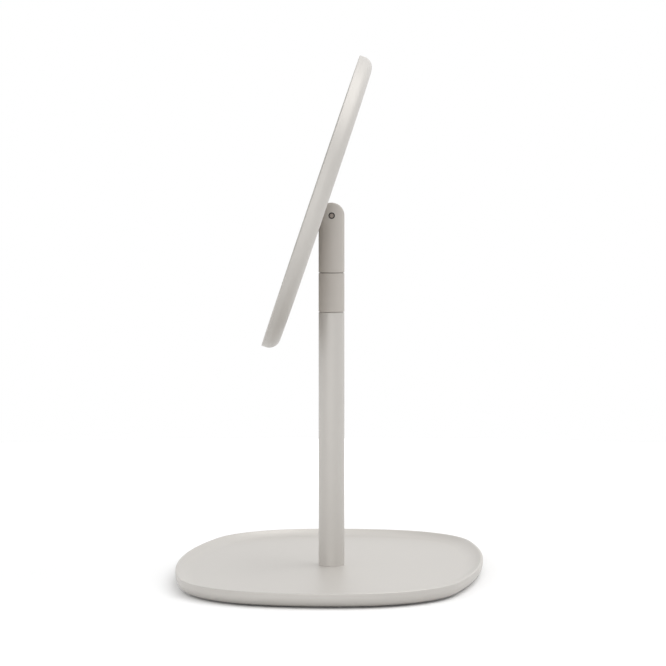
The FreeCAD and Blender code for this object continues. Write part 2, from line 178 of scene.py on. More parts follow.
class MirrorSettings(bpy.types.PropertyGroup):
    """Sizes of the mirror, measured from the pin towards its front."""

    radius: length("Radius", 0.0945, "Radius of the mirror")
    rise: length("Rise", 0.00445, "How far the mirror's centre is above the pin")
    back: length("Back", 0.0055, "From the pin to the flat back")
    front: length("Front", 0.0153, "From the pin to the front edge")
    edge_round: length("Edge round", 0.00035, "Radius of the front edge, outside and inside")
    upright: length("Upright side", 0.003, "Straight side wall behind the front edge")
    wall: length("Wall", 0.0012, "Thickness of the shell")
    well_radius: length("Well radius", 0.026, "Radius of the well in the back")
    well_round: length("Well round", 0.001, "Radius of the well's mouth")
    well_foot: length("Well foot", 0.0003, "Radius at the foot of the well's wall")
    well_floor: length("Well floor", 0.009, "From the pin to the floor of the well")
    plate_seat: length("Plate seat", 0.0102, "From the pin to the plate inside the shell")
    plate_front: length("Plate front", 0.0117, "From the pin to the front of the plate")
    plate_radius: length("Plate radius", 0.022, "Radius of the plate inside the shell")
    plate_edge: length("Plate edge", 0.0002, "How far the plate's edges are rounded")
    tongue_half: length("Tongue half width", 0.0025, "Half the thickness of the tongue on the pin")
    tongue_radius: length("Tongue radius", 0.0046, "Radius of the tongue's round end")
    tongue_edge: length("Tongue edge", 0.0004, "Radius of the tongue's edges")
    tongue_room: length("Tongue room", 0.00015, "Gap round the tongue in the floor of the well")
    tongue_bore: length("Tongue bore", 0.00203, "Radius of the tongue's hole for the pin")
    glass_back: length("Glass back", 0.0127, "From the pin to the back of the glass")
    glass_front: length("Glass front", 0.0147, "From the pin to the front of the glass")
    glass_gap: length("Glass gap", 0.0002, "Gap between the glass and the shell")
    glass_bevel: length("Glass bevel", 0.0004, "Bevel along the edge of the glass")
    screw_radius: length("Screw radius", 0.0015, "Radius of a bracket screw")
    screw_head: length("Screw head", 0.00275, "Radius of a bracket screw's head")
    screw_rise: length("Screw head height", 0.0016, "Height of a bracket screw's head")
    screw_side: length("Screw side", 0.0003, "Straight side of a bracket screw's head")
    screw_flat: length("Screw flat", 0.0004, "Width of the flat round a screw's socket")
    screw_bevel: length("Screw bevel", 0.0001, "Bevel along the mouth of a screw's socket")
    screw_key: length("Screw key", 0.001, "Half the width across the flats of a screw's socket")
    screw_key_depth: length("Screw key depth", 0.0009, "Depth of a screw's socket")
    screw_across: length("Screws across", 0.015, "From the middle to a screw, along the hinge")
    screw_up: length("Screws up", 0.009, "From the pin to a screw, across the hinge")


class FinishSettings(bpy.types.PropertyGroup):
    """Colours and gloss of the finishes."""

    paint: colour("Paint", (0.615, 0.588, 0.552), "Warm light grey of the satin paint")
    head_paint: colour("Head paint", (0.550, 0.514, 0.474), "Darker warm grey of the head and the collar")
    paint_roughness: share("Paint roughness", 0.55, "Roughness of the satin paint")
    steel: colour("Steel", (0.56, 0.55, 0.53), "Plain steel")
    pin: colour("Pin", (0.27, 0.235, 0.21), "Dull tip of the hinge pin")
    # painted shade: near black in the grooves round the pin's tips, where the gap's shadow falls
    browned: colour("Browned", (0.012, 0.008, 0.006), "Old oil in the groove round the pin's tip")
    acetal: colour("Acetal", (0.028, 0.028, 0.030), "Dark bearing plastic")
    rubber: colour("Rubber", (0.022, 0.021, 0.020), "Dark non-slip sheet")
    board: colour("Board", (0.30, 0.19, 0.10), "Pressed fibre board")
    foam: colour("Foam", (0.62, 0.61, 0.58), "Foam tape behind the glass")
    silver: colour("Silver", (0.90, 0.92, 0.915), "Silvering behind the glass")
    glass_edge: colour("Glass edge", (0.12, 0.22, 0.18), "Cut edge of the glass")


class StageSettings(bpy.types.PropertyGroup):
    """Camera, lamps and floor."""

    lens: number("Lens", 139.5, "Focal length", unit="CAMERA")
    distance: length("Camera distance", 1.597, "Level distance from the stem to the camera")
    height: length("Camera height", 0.2325, "Height of the camera above the table")
    bearing: angle("Camera bearing", 4.77, "Turn of the camera from the dish's long axis")
    pitch: angle("Camera pitch", 2.983, "How far the camera looks down")
    aside: angle("Camera aside", -0.033, "Turn of the camera away from the stem")
    ambient: share("Ambient", 0.56, "Strength of the light from all round")
    overhead: share("Overhead", 0.42, "Brightness of the background high up across the dish")
    fade_low: share("Fade low", 0.15, "Upward part of a direction where the fade starts")
    fade_high: share("Fade high", 0.6, "Upward part of a direction where the fade ends")
    fade_from: share("Fade from", 0.4, "Sideways part of a direction where the fade starts")
    fade_full: share("Fade full", 0.8, "Sideways part of a direction where the fade is whole")
    near_lift: share("Near lift", 0.04, "How much paler the floor looks beside the object than it is lit")
    lift_from: length("Lift from", 0.2, "Distance from the stem where the lift starts to grow")
    lift_full: length("Lift full", 0.6, "Distance from the stem where the lift is full")
    lamp_reach: length("Lamp distance", 1.8, "From the middle of the object to each lamp")
    left_power: power("Left lamp", 6.5, "Strength of the wide lamp at the left")
    right_power: power("Right lamp", 18.5, "Strength of the wide lamp high at the right")
    rear_power: power("Rear lamp", 3.0, "Strength of the wide lamp behind, at the right")
    front_power: power("Front lamp", 8.3, "Strength of the low lamp beside the camera")
    floor_radius: length("Floor radius", 0.9, "Radius of the floor")
    floor: colour("Floor", (0.74, 0.74, 0.74), "Pale floor, as it lights the object")
    floor_seen: colour("Floor as seen", (1.0, 1.0, 1.0), "White floor, as the camera sees it")
    floor_lift: share("Floor lift", 0.35, "How much paler the floor looks far out than it is lit")


# Outlines and surfaces


def directions(angles):
    """Unit vectors: the cosine and sine of each angle."""
    return np.stack([np.cos(angles), np.sin(angles)], axis=-1)


def arc(centre, radius, start, end, steps):
    """Points on a circle: the centre plus the radius times the cosine and sine of evenly spaced angles."""
    return np.asarray(centre) + radius * directions(np.radians(np.linspace(start, end, steps + 1)))


def chain(*stretches):
    """One outline through points and stretches of points in turn."""
    return np.concatenate([np.atleast_2d(np.asarray(stretch, float)) for stretch in stretches])


def softened(corners, radius, closed=True, steps=4):
    """Outline with rounded corners.

    Each corner becomes a parabola between two points at this distance on its sides, or at a quarter of a
    short side. One more point beyond each end keeps the shading of the straight stretch flat.
    """
    corner = np.asarray(corners, float)

    def towards(neighbour):
        step = neighbour - corner
        size = np.linalg.norm(step, axis=1, keepdims=True)
        return step / size * np.minimum(radius, size / 4)

    before = towards(np.roll(corner, 1, axis=0))
    after = towards(np.roll(corner, -1, axis=0))
    t = np.linspace(0, 1, steps + 1)[None, :, None]
    bend = corner[:, None] + (1 - t) ** 2 * before[:, None] + t**2 * after[:, None]
    beyond = 1.8  # times the distance to a bend's end
    first = corner + beyond * before
    last = corner + beyond * after
    bends = np.concatenate([first[:, None], bend, last[:, None]], axis=1)
    if closed:
        return bends.reshape(-1, 2)
    return chain(corner[0], bends[1:-1].reshape(-1, 2), corner[-1])


def turn_angles(steps=TURN_STEPS):
    """Evenly spaced angles round a full turn."""
    return np.linspace(0, 2 * np.pi, steps, endpoint=False)


def round_rings(section, angles):
    """Section turned about Z: each (radius, height) becomes a ring of that radius at that height."""
    section = np.atleast_2d(np.asarray(section, float))
    radius = section[:, :1]
    height = np.broadcast_to(section[:, 1:2], (len(section), len(angles)))
    return np.stack([radius * np.cos(angles), radius * np.sin(angles), height], axis=-1)


def between(first, last, shares):
    """Rings that lie these shares of the way from the first ring to the last."""
    t = np.asarray(shares, float)[:, None, None]
    return (1 - t) * first + t * last


def grid(name, points, loop=False, ring=True):
    """Mesh through rows of points: quads join each row to the next, and the last row to the first in a loop.

    In a ring the last point of each row is joined to its first.
    """
    rows, columns = points.shape[:2]
    row = np.arange(rows if loop else rows - 1)[:, None]
    column = np.arange(columns if ring else columns - 1)[None, :]
    here = row * columns
    ahead = (row + 1) % rows * columns
    beside = (column + 1) % columns
    faces = np.stack([here + column, here + beside, ahead + beside, ahead + column], axis=-1).reshape(-1, 4)
    mesh = bpy.data.meshes.new(name)
    mesh.from_pydata(points.reshape(-1, 3).tolist(), [], faces.tolist())
    return mesh


def closed_mesh(mesh):
    """The mesh with doubles merged, no empty faces, faces turned outwards and smooth but for sharp edges."""
    work = bmesh.new()
    work.from_mesh(mesh)
    bmesh.ops.remove_doubles(work, verts=work.verts, dist=MERGE_DISTANCE)
    bmesh.ops.dissolve_degenerate(work, edges=work.edges, dist=MERGE_DISTANCE)
    bmesh.ops.recalc_face_normals(work, faces=work.faces)
    work.to_mesh(mesh)
    work.free()
    mesh.shade_smooth()
    mesh.set_sharp_from_angle(angle=SMOOTH_ANGLE)
    return mesh


def surface(name, rings, loop=False):
    """Closed mesh through rings of points. Points that fall together, as at a pole, are merged."""
    return closed_mesh(grid(name, rings, loop))


def joined(name, meshes):
    """One mesh of several."""
    work = bmesh.new()
    for mesh in meshes:
        work.from_mesh(mesh)
        bpy.data.meshes.remove(mesh)
    mesh = bpy.data.meshes.new(name)
    work.to_mesh(mesh)
    work.free()
    return mesh


def points_of(mesh):
    """The mesh's points as an array."""
    place = np.empty(len(mesh.vertices) * 3, np.float32)
    mesh.vertices.foreach_get("co", place)
    return place.reshape(-1, 3)


def mark_points(mesh, name, chosen):
    """Attribute of this name that is 1 at the chosen points and 0 at the others."""
    marks = mesh.attributes.new(name, "FLOAT", "POINT")
    marks.data.foreach_set("value", chosen.astype(np.float32))


def placed(name, data):
    """Object of this mesh, lamp or camera in the scene."""
    item = bpy.data.objects.new(name, data)
    bpy.context.scene.collection.objects.link(item)
    return item


def show(name, mesh, material, *nodes, slot):
    """Object of a finished mesh that stands for these nodes of the frame and rides on their body."""
    piece = placed(name, mesh)
    mesh.materials.clear()
    mesh.materials.append(material)
    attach(piece, frame["nodes"][nodes[0]]["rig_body"])
    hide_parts(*nodes)
    return piece


# Places that the frame gives


def joint(name):
    """The joint of this name."""
    return next(item for item in frame["joints"] if item["name"] == name)


def swivel_angle():
    """Turn of the head about the stem, from the direction of the hinge."""
    x, y, _ = joint("mirror_tilt")["axis"]
    return math.atan2(-y, -x)


def head_place():
    """Matrix from the head's own axes, with the hinge along X and the pin at the origin, to the frame."""
    return Matrix.Translation(Vector(joint("mirror_tilt")["pos_m"])) @ Matrix.Rotation(swivel_angle(), 4, "Z")


def mirror_place():
    """Matrix from the mirror's own axes to the frame: X along the hinge, Z out of the glass.

    The pin is at the origin. The front's direction is the normal of the largest face of the glass.
    """
    faces = frame["nodes"]["mirror_glass"].data.polygons
    front = max(faces, key=lambda face: face.area).normal.copy()
    if front.y > 0:
        front.negate()
    hinge = Matrix.Rotation(swivel_angle(), 3, "Z") @ Vector((1, 0, 0))
    up = front.cross(hinge).normalized()
    axes = Matrix((hinge, up, front)).transposed().to_4x4()
    return Matrix.Translation(Vector(joint("mirror_tilt")["pos_m"])) @ axes


# Finishes


MIDDLE = (0.3, 0.7)  # part of its range that a noise seldom leaves
WHITE = (1.0, 1.0, 1.0, 1.0)


def new_material(name):
    """Material of this name, its node tree and its shader."""
    material = bpy.data.materials.new(name)
    material.use_nodes = True
    tree = material.node_tree
    return material, tree, tree.nodes["Principled BSDF"]


def put(tree, value, socket):
    """Give a socket a value, or link another node's output to it."""
    if isinstance(value, bpy.types.NodeSocket):
        tree.links.new(value, socket)
    else:
        socket.default_value = value


def put_all(tree, node, values):
    """Give a node's inputs their values or links by name."""
    for name, value in values.items():
        put(tree, value, node.inputs[name])


def add(tree, kind, **values):
    """Node of this kind with the given properties and inputs."""
    made = tree.nodes.new(kind)
    for key, value in values.items():
        if key in made.inputs:
            put(tree, value, made.inputs[key])
        else:
            setattr(made, key, value)
    return made


def calculated(tree, operation, *terms):
    """Result of an operation on numbers or other nodes' outputs."""
    node = add(tree, "ShaderNodeMath", operation=operation)
    for term, socket in zip(terms, node.inputs):
        put(tree, term, socket)
    return node.outputs[0]


def map_range(tree, source, given, made):
    """Number that goes from one end of made to the other while the source goes through given."""
    node = add(tree, "ShaderNodeMapRange")
    for value, socket in zip((source, *given, *made), node.inputs):
        put(tree, value, socket)
    return node.outputs[0]


def blended(tree, first, last, source):
    """Colour that goes from the first to the last while the source goes from 0 to 1."""
    return add(tree, "ShaderNodeMix", data_type="RGBA", Factor=source, A=first, B=last).outputs["Result"]


def attribute(tree, name):
    """The mesh's attribute of this name."""
    return add(tree, "ShaderNodeAttribute", attribute_name=name).outputs["Fac"]


def noise(tree, scale, detail=2.0, stretch=(1.0, 1.0, 1.0)):
    """Noise over the piece's own coordinates, with this many waves in a metre."""
    place = add(tree, "ShaderNodeTexCoord").outputs["Object"]
    place = add(tree, "ShaderNodeMapping", Scale=stretch, Vector=place).outputs["Vector"]
    return add(tree, "ShaderNodeTexNoise", Scale=scale, Detail=detail, Vector=place).outputs["Fac"]


def tinted(tree, source, tone, shades):
    """Colour that goes from one shade of the tone to another with the source's middle range."""
    ramp = add(tree, "ShaderNodeValToRGB", Fac=source)
    for element, place, shade in zip(ramp.color_ramp.elements, MIDDLE, shades):
        element.position = place
        element.color = (*(min(1.0, part * shade) for part in tone), 1.0)
    return ramp.outputs["Color"]


def grain(tree, source, depth):
    """Normal of a fine relief of this depth in metres."""
    return add(tree, "ShaderNodeBump", Strength=1.0, Distance=depth, Height=source).outputs["Normal"]


def painted(name, tone, rough):
    """Sprayed satin paint: even colour with a faint cloud in it, soft gloss and a fine orange peel."""
    material, tree, shader = new_material(name)
    cloud = noise(tree, scale=28.0, detail=3.0)
    gloss = noise(tree, scale=160.0, detail=4.0)
    peel = noise(tree, scale=900.0, detail=1.0)
    put_all(tree, shader, {
        "Base Color": tinted(tree, cloud, tone, shades=(0.985, 1.01)),
        "Roughness": map_range(tree, gloss, MIDDLE, (rough - 0.03, rough + 0.04)),
        "Normal": grain(tree, peel, depth=0.000006),
    })
    return material


def satin_paint(finish):
    """Paint of the dish, the tube and the mirror's shell."""
    return painted("satin_paint", finish.paint, finish.paint_roughness)


def head_paint(finish):
    """Paint of the head and the collar, a shade darker and warmer."""
    return painted("head_paint", finish.head_paint, finish.paint_roughness)


def marked(name, tone, waves, shades, rough, depth, metallic=0.0):
    """Finish with marks: one noise shades the colour, gives relief and spreads the roughness of a range.

    The waves are the noise's scale, detail and stretch.
    """
    material, tree, shader = new_material(name)
    marks = noise(tree, *waves)
    put_all(tree, shader, {
        "Base Color": tinted(tree, marks, tone, shades),
        "Metallic": metallic,
        "Roughness": map_range(tree, marks, MIDDLE, rough) if isinstance(rough, tuple) else rough,
        "Normal": grain(tree, marks, depth),
    })
    return material


def plain_steel(finish):
    """Drawn steel with fine marks."""
    waves = (2500.0, 3.0, (1.0, 0.15, 0.15))
    return marked(
        "plain_steel", finish.steel, waves, shades=(0.9, 1.08), rough=(0.26, 0.42), depth=0.000003, metallic=1.0
    )


def dark_acetal(finish):
    """Turned black bearing plastic with a low sheen."""
    waves = (1800.0, 2.0)
    return marked("dark_acetal", finish.acetal, waves, shades=(0.8, 1.3), rough=(0.36, 0.5), depth=0.000004)


def pad_rubber(finish):
    """Dull dark rubber with a pebbled face."""
    waves = (700.0, 2.0)
    return marked("pad_rubber", finish.rubber, waves, shades=(0.7, 1.6), rough=(0.78, 0.95), depth=0.00012)


def fibre_board(finish):
    """Pressed board with matted fibres."""
    waves = (420.0, 6.0, (1.0, 0.35, 1.0))
    return marked("fibre_board", finish.board, waves, shades=(0.65, 1.25), rough=0.9, depth=0.00006)


def foam_tape(finish):
    """Closed foam with small cells."""
    waves = (1400.0, 1.0)
    return marked("foam_tape", finish.foam, waves, shades=(0.85, 1.05), rough=0.85, depth=0.00008)


def pin_steel(finish):
    """Dull steel of the pin, with painted shade in the grooves round its tips: near black and not metal where
    the groove attribute is 1.
    """
    material, tree, shader = new_material("pin_steel")
    marks = noise(tree, scale=2500.0, detail=3.0)
    bare = tinted(tree, marks, finish.pin, shades=(0.85, 1.1))
    # painted shade: the groove attribute blends in the near black colour and takes the metal away
    painted_shade = attribute(tree, "browned")
    put_all(tree, shader, {
        "Base Color": blended(tree, bare, (*finish.browned, 1.0), painted_shade),
        "Metallic": calculated(tree, "SUBTRACT", 1.0, painted_shade),
        "Roughness": map_range(tree, marks, MIDDLE, (0.4, 0.55)),
    })
    return material


def silvered_glass(finish):
    """Bright silvering, and the greenish cut of the glass where the attribute cut_edge is 1."""
    material, tree, shader = new_material("silvered_glass")
    edge = attribute(tree, "cut_edge")
    haze = map_range(tree, noise(tree, scale=60.0, detail=5.0), MIDDLE, (0.008, 0.022))
    cut_roughness = 0.12
    put_all(tree, shader, {
        "Base Color": blended(tree, (*finish.silver, 1.0), (*finish.glass_edge, 1.0), edge),
        "Metallic": calculated(tree, "SUBTRACT", 1.0, edge),
        "Roughness": calculated(tree, "MULTIPLY_ADD", edge, cut_roughness, haze),
    })
    return material


def finish_of(make):
    """The material that this function makes, made once."""
    return bpy.data.materials.get(make.__name__) or make(bpy.context.scene.mirror_finish)


# Dish


def oval_path(dish):
    """Centre, radius and angle at each step of the dish's outline: eight arcs, each tangent to the next.

    A corner's centre lies where two circles cross: about the centre of a side and about the centre of an
    end, with what is left of their radii when the corner's is taken off.
    """
    _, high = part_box("tray")
    side = np.array([0.0, high.y - dish.side_radius])
    end = np.array([high.x - dish.end_radius, 0.0])
    from_side = dish.side_radius - dish.corner_radius
    from_end = dish.end_radius - dish.corner_radius
    distance = np.linalg.norm(end - side)
    ahead = (end - side) / distance
    along = (from_side**2 - from_end**2 + distance**2) / (2 * distance)
    across = math.sqrt(from_side**2 - along**2)
    corner = side + along * ahead + across * np.array([ahead[1], -ahead[0]])
    steep = math.atan2(*(corner - side)[::-1])
    shallow = math.atan2(*(corner - end)[::-1])
    rear = corner * np.array([-1.0, 1.0])
    half = [  # centre, radius, first and last angle, points
        (end, dish.end_radius, -shallow, shallow, 32),
        (corner, dish.corner_radius, shallow, steep, 36),
        (side, dish.side_radius, steep, np.pi - steep, 44),
        (rear, dish.corner_radius, np.pi - steep, np.pi - shallow, 36),
    ]
    centres = np.concatenate([np.tile(centre, (count, 1)) for centre, _, _, _, count in half])
    radii = np.concatenate([np.full(count, radius) for _, radius, _, _, count in half])
    angles = np.concatenate([np.linspace(a, b, count, endpoint=False) for _, _, a, b, count in half])
    return np.concatenate([centres, -centres]), np.tile(radii, 2), np.concatenate([angles, angles + np.pi])


def oval_rings(path, section):
    """Section carried round the path: (inset, height) is the path moved in by the inset, at that height."""
    centres, radii, angles = path
    section = np.atleast_2d(np.asarray(section, float))
    reach = radii - section[:, :1]
    x = centres[:, 0] + reach * np.cos(angles)
    y = centres[:, 1] + reach * np.sin(angles)
    return np.stack([x, y, np.broadcast_to(section[:, 1:2], x.shape)], axis=-1)


def sheet_inset():
    """How far the sheet under the dish lies inside the dish's outline."""
    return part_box("tray")[1].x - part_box("base_pad")[1].x


def dish_section(dish, underside, rim):
    """Section from the flat floor over the rim to the land round the sheet.

    It is made of a cove, the rim, an upright wall and a quarter circle.

    The cove is an arc that leaves the floor level and ends at the rim. Its radius is the run squared plus the
    drop squared, over twice the drop, and the arc turns by twice the slope of the line between its ends.
    """
    floor = underside + dish.floor_thickness
    edge = rim - underside - dish.wall_upright
    land = sheet_inset() - edge
    inset = dish.rim_width + dish.cove_run
    drop = rim - floor
    radius = (dish.cove_run**2 + drop**2) / (2 * drop)
    short = 4 * dish.rim_inner_round / radius  # leaves room for the lip's bend
    turn = math.degrees(2 * math.atan2(drop, dish.cove_run) - short)
    cove = arc((inset, floor + radius), radius, -90, -90 - turn, 28)
    corners = [cove[-1], (dish.rim_width, rim), (dish.rim_round, rim)]
    lip = softened(corners, dish.rim_inner_round, closed=False)
    outer = (dish.rim_round, rim - dish.rim_round)
    return chain(
        cove,
        lip[1:-1],
        arc(outer, dish.rim_round, 90, 180, 8),
        arc((edge, underside + edge), edge, 180, 270, 20),
        (edge + land / 8, underside),
        (edge + land * 7 / 8, underside),
    )


def dish_mesh(dish):
    """The dish as one loop of rings: along the floor, up the cove, over the rim, under and up the screw hole.

    On the floor and in the recess the rings change from the oval to the round hole in shares.
    """
    low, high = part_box("tray")
    path = oval_path(dish)
    section = dish_section(dish, low.z, high.z)
    edge = sheet_inset()
    beside_edge = 1.03 * edge  # keeps the recess flat in the shading
    ceiling = low.z + dish.pad_recess
    shell = oval_rings(path, section)
    recess = oval_rings(path, [(edge, low.z), (edge, ceiling), (beside_edge, ceiling)])
    bearing = np.arctan2(shell[0, :, 1], shell[0, :, 0])
    sink = dish.screw_sink - dish.screw_hole
    hole = round_rings(
        [
            (dish.screw_sink, ceiling),
            (dish.screw_hole, ceiling + sink),
            (dish.screw_hole, low.z + dish.floor_thickness),
        ],
        bearing,
    )
    floor = between(hole[-1], shell[0], (0.2, 0.4, 0.6, 0.8, 0.97))
    under = between(recess[-1], hole[0], (0.25, 0.5, 0.75))
    return surface("dish", np.concatenate([floor, shell, recess, under, hole]), loop=True)


def grip_sheet_mesh(dish):
    """The sheet under the dish: its outline with softened edges, drawn in to a point above and below."""
    low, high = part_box("base_pad")
    inset = sheet_inset()
    inner = inset + 0.01  # keeps both faces flat in the shading
    corners = [(inner, high.z), (inset, high.z), (inset, low.z), (inner, low.z)]
    sides = oval_rings(oval_path(dish), softened(corners, dish.sheet_edge, closed=False))
    on_axis = np.array([0.0, 0.0, 1.0])
    shares = (0.0, 0.35, 0.7)
    above = between(sides[0] * on_axis, sides[0], shares)
    below = between(sides[-1] * on_axis, sides[-1], shares)
    return surface("grip_sheet", np.concatenate([above, sides, below[::-1]]))


class MIRROR_OT_dish(bpy.types.Operator):
    """Make the oval dish and the non-slip sheet under it"""

    bl_idname = "table_mirror.dish"
    bl_label = "Dish and sheet"

    def execute(self, context):
        dish = context.scene.mirror_dish
        show("dish", dish_mesh(dish), finish_of(satin_paint), "tray", slot="satin_paint")
        show("grip_sheet", grip_sheet_mesh(dish), finish_of(pad_rubber), "base_pad", slot="pad_rubber")
        return {"FINISHED"}


# Stem


def turned(name, corners, edge):
    """Turned piece: a closed outline of (radius, height) with softened corners, carried round Z."""
    return surface(name, round_rings(softened(corners, edge), turn_angles()), loop=True)


def spun(name, corners, edge, steps=TURN_STEPS):
    """Solid turned piece: an outline of (radius, height) from the axis to the axis, carried round Z."""
    return surface(name, round_rings(softened(corners, edge, closed=False), turn_angles(steps)))


def round_bar(radius, low, high):
    """Outline of a plain round bar between two heights."""
    return [(0.0, low), (radius, low), (radius, high), (0.0, high)]


def post_mesh(stem):
    """The tube: a ring section with a bevel outside at its upper end."""
    low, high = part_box("stem_tube")
    bore, radius, bevel = stem.tube_bore, high.x, stem.seam_chamfer
    outside = [(radius, low.z), (radius, high.z - bevel), (radius - bevel, high.z)]
    return turned("post", [(bore, low.z), *outside, (bore, high.z)], stem.soft_edge)


def sleeve_mesh(stem):
    """The collar: a sleeve bevelled at both seams, with a narrow groove over the spigot in the tube."""
    low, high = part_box("swivel_collar")
    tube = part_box("stem_tube")[1].z
    seam = tube + stem.seam_gap
    bore, radius, bevel = stem.collar_bore, high.x, stem.seam_chamfer
    neck, edge = radius - stem.seam_depth, radius - bevel
    spigot = [(stem.tube_bore, low.z), (stem.tube_bore, tube), (neck, tube), (neck, seam)]
    outside = [(edge, seam), (radius, seam + bevel), (radius, high.z - bevel), (edge, high.z)]
    return turned("sleeve", [(bore, low.z), *spigot, *outside, (bore, high.z)], stem.soft_edge)


def bush_mesh(stem):
    """The bush: a thin sleeve with a flange that shows as the dark line of the upper seam."""
    low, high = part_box("collar_bush")
    collar = high.z - stem.flange
    bore, radius = stem.bush_bore, stem.bush_radius
    outside = [(radius, low.z), (radius, collar), (high.x, collar), (high.x, high.z)]
    return turned("bush", [(bore, low.z), *outside, (bore, high.z)], stem.soft_edge)


class MIRROR_OT_stem(bpy.types.Operator):
    """Make the tube, the collar and the bush between collar and head"""

    bl_idname = "table_mirror.stem"
    bl_label = "Stem"

    def execute(self, context):
        stem = context.scene.mirror_stem
        show("post", post_mesh(stem), finish_of(satin_paint), "stem_tube", slot="satin_paint")
        show("sleeve", sleeve_mesh(stem), finish_of(head_paint), "swivel_collar", slot="satin_paint")
        show("bush", bush_mesh(stem), finish_of(dark_acetal), "collar_bush", slot="dark_acetal")
        return {"FINISHED"}


# Head


def fork_slices(radius, half_slot):
    """Places along the hinge of the slices of the first ear and of the slot, as the cosine of even angles.

    The slices at the slot's walls come twice, once for an ear and once for the slot.
    """
    wall = math.acos(half_slot / radius)
    ear = -radius * np.cos(np.linspace(0, wall, 32))
    slot = -radius * np.cos(np.linspace(wall, np.pi - wall, 16))
    return ear, slot


def half_depth(radius, bend, along, height):
    """Half the fork's depth at a place along the hinge and a height above the pin.

    The bar leaves the root of the radius squared less the place squared, and the half-round top that of the
    radius squared less the height squared. The smaller holds. Where place and height differ by less than the
    bend, a quarter circle of that radius joins the two, which fades out towards the pin.
    """
    along = np.abs(along)
    height = np.maximum(height, 0.0)
    bend = np.minimum(bend, height / 2)
    apart = np.abs(along - height)
    corner = bend + (along + height - np.sqrt(np.maximum(2 * bend**2 - apart**2, 0.0))) / 2
    reach = np.where(apart < bend, corner, np.maximum(along, height))
    return np.sqrt(np.maximum(radius**2 - reach**2, 0.0))


def bent_height(limit, bend, along):
    """Height where the half depth is what the limit leaves of the radius, at each place along the hinge."""
    over = np.maximum(np.abs(along) - limit + bend, 0.0)
    return limit - bend + np.sqrt(np.maximum(bend**2 - over**2, 0.0))


def fork_outlines(stem, radius, along, in_slot):
    """Side outlines of slices of the fork, from the root behind, over the top, to the root in front.

    The sides and the top follow the half depth. In an ear the outline goes over the top. In the slot it goes
    down the slot's back wall, round a quarter circle and out to the front along the slot's floor.
    """
    x = np.asarray(along)[:, None]
    ones = np.ones_like(x)
    slot = stem.slot_radius
    bend = stem.crown_round
    lip = bent_height(math.sqrt(radius**2 - slot**2), bend, x)
    top = bent_height(radius, bend, x)
    chord = half_depth(radius, bend, x, 0 * x)

    def line(depth, height):
        return np.stack([x + 0 * depth * height, depth + 0 * x * height, height + 0 * x * depth], axis=-1)

    def sides(height):
        return line(half_depth(radius, bend, x, height), height)

    front = np.array([1.0, -1.0, 1.0])
    low = np.linspace(-stem.shoulder, 0, 8, endpoint=False)
    back = [sides(low * ones), sides(lip * np.linspace(0, 1, 24))]
    if in_slot:
        turn = np.linspace(0, np.pi / 2, 16)
        middle = [
            line(slot * ones, lip * np.linspace(1, 0, 12, endpoint=False)),
            line(slot * np.cos(turn) * ones, -slot * np.sin(turn)),
            line(-chord * np.linspace(0, 1, 16), -slot * ones),
        ]
    else:
        start = np.arcsin(np.clip(lip / top, 0, 1))
        rise = top * np.sin(start + (np.pi / 2 - start) * np.linspace(0, 1, 10))
        fall = lip + (-slot - lip) * np.linspace(0, 1, 25)[1:]
        middle = [sides(rise), sides(rise)[:, ::-1] * front, sides(fall) * front]
    last = sides(np.linspace(-slot, -stem.shoulder, 8) * ones) * front
    return np.concatenate([*back, *middle, last], axis=1)


def fork_mesh(stem):
    """The fork: slices along the hinge above its root, and turned rings through the same points below it."""
    low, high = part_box("hinge_head")
    radius = high.x
    pin = high.z - radius
    ear, slot = fork_slices(radius, stem.slot_half)
    along = np.concatenate([ear, slot, -ear[::-1]])
    upper = np.concatenate(
        [
            fork_outlines(stem, radius, ear, in_slot=False),
            fork_outlines(stem, radius, slot, in_slot=True),
            fork_outlines(stem, radius, -ear[::-1], in_slot=False),
        ]
    )
    chord = np.sqrt(np.maximum(radius**2 - along**2, 0.0))
    bearing = np.concatenate([np.arctan2(chord, along), np.arctan2(-chord, along)[::-1]])
    bottom = low.z - pin
    bevel = stem.seam_chamfer
    edge = bottom + bevel
    roof = bottom + stem.spindle_grip
    section = [
        (radius, -stem.shoulder),
        (radius, edge + 5 * FINE_GUARD),
        (radius, edge + FINE_GUARD),
        (radius, edge),
        (radius - bevel, bottom),
        (radius - bevel - FINE_GUARD, bottom),
        (stem.spindle_bore, bottom),
        (stem.spindle_bore, roof),
        (0.0, roof),
    ]
    bar = surface("bar", round_rings(section, bearing))
    return closed_mesh(joined("fork", [grid("ears", upper, ring=False), bar]))


def along_hinge():
    """Matrix that lays a piece made about Z along the hinge."""
    return Matrix.Rotation(math.pi / 2, 4, "Y")


def drill_pin_hole(piece, stem):
    """Cut the pin's hole through the fork with a round bar, and keep the result as the piece's own mesh."""
    reach = 0.02  # well past both sides of the fork
    outline = round_bar(stem.pin_radius + stem.pin_room, -reach, reach)
    bar = spun("pin_drill", outline, stem.soft_edge, PIN_STEPS)
    bar.transform(along_hinge())
    cutter = placed("pin_drill", bar)
    cut = piece.modifiers.new("pin_hole", "BOOLEAN")
    cut.operation = "DIFFERENCE"
    cut.solver = "EXACT"
    cut.object = cutter
    graph = bpy.context.evaluated_depsgraph_get()
    result = bpy.data.meshes.new_from_object(piece.evaluated_get(graph))
    piece.modifiers.clear()
    piece.data = result
    bpy.data.objects.remove(cutter)
    bpy.data.meshes.remove(bar)


def soften_edges(piece, width):
    """Round the piece's sharp edges with a live bevel."""
    bevel = piece.modifiers.new("soft_edges", "BEVEL")
    bevel.width = width
    bevel.segments = 2
    bevel.limit_method = "ANGLE"
    bevel.angle_limit = SMOOTH_ANGLE
    bevel.use_clamp_overlap = True


